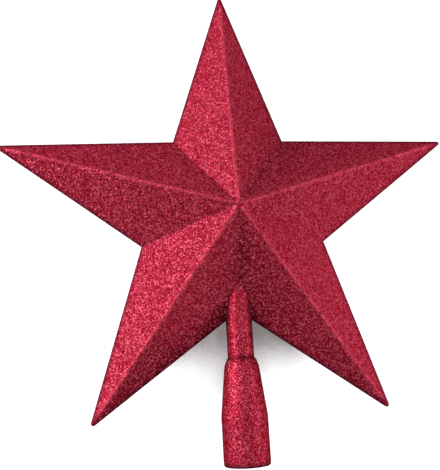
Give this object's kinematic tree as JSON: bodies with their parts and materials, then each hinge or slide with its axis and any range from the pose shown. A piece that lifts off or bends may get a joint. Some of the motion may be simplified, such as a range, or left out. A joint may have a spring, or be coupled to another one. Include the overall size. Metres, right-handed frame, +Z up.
{
  "type": "christmas tree topper star",
  "caption": "Faceted star tree topper: hollow glitter-coated half shells with a split neck that pushes into a flared sleeve, which slips over the tree's leading shoot.",
  "frame": {"origin": "centre of the sleeve's mouth, where the topper meets the tree", "axes": "+Z up along the neck and sleeve, the star in the XZ plane with its front towards -Y, +X to the right seen from the front"},
  "size_m": [0.1996, 0.0394, 0.2091],
  "materials": {
    "star_glitter": "red hex glitter bonded over red moulded plastic",
    "sleeve_glitter": "red hex glitter bonded over red moulded plastic"
  },
  "bodies": {
    "sleeve": {"sleeve": "sleeve_glitter"},
    "star": {"front_shell": "star_glitter", "back_shell": "star_glitter"}
  },
  "joints": [
    {"name": "star_lift", "type": "slide", "parent": "sleeve", "child": "star", "axis": [0, 0, 1], "range_m": [0, 0.016]}
  ]
}
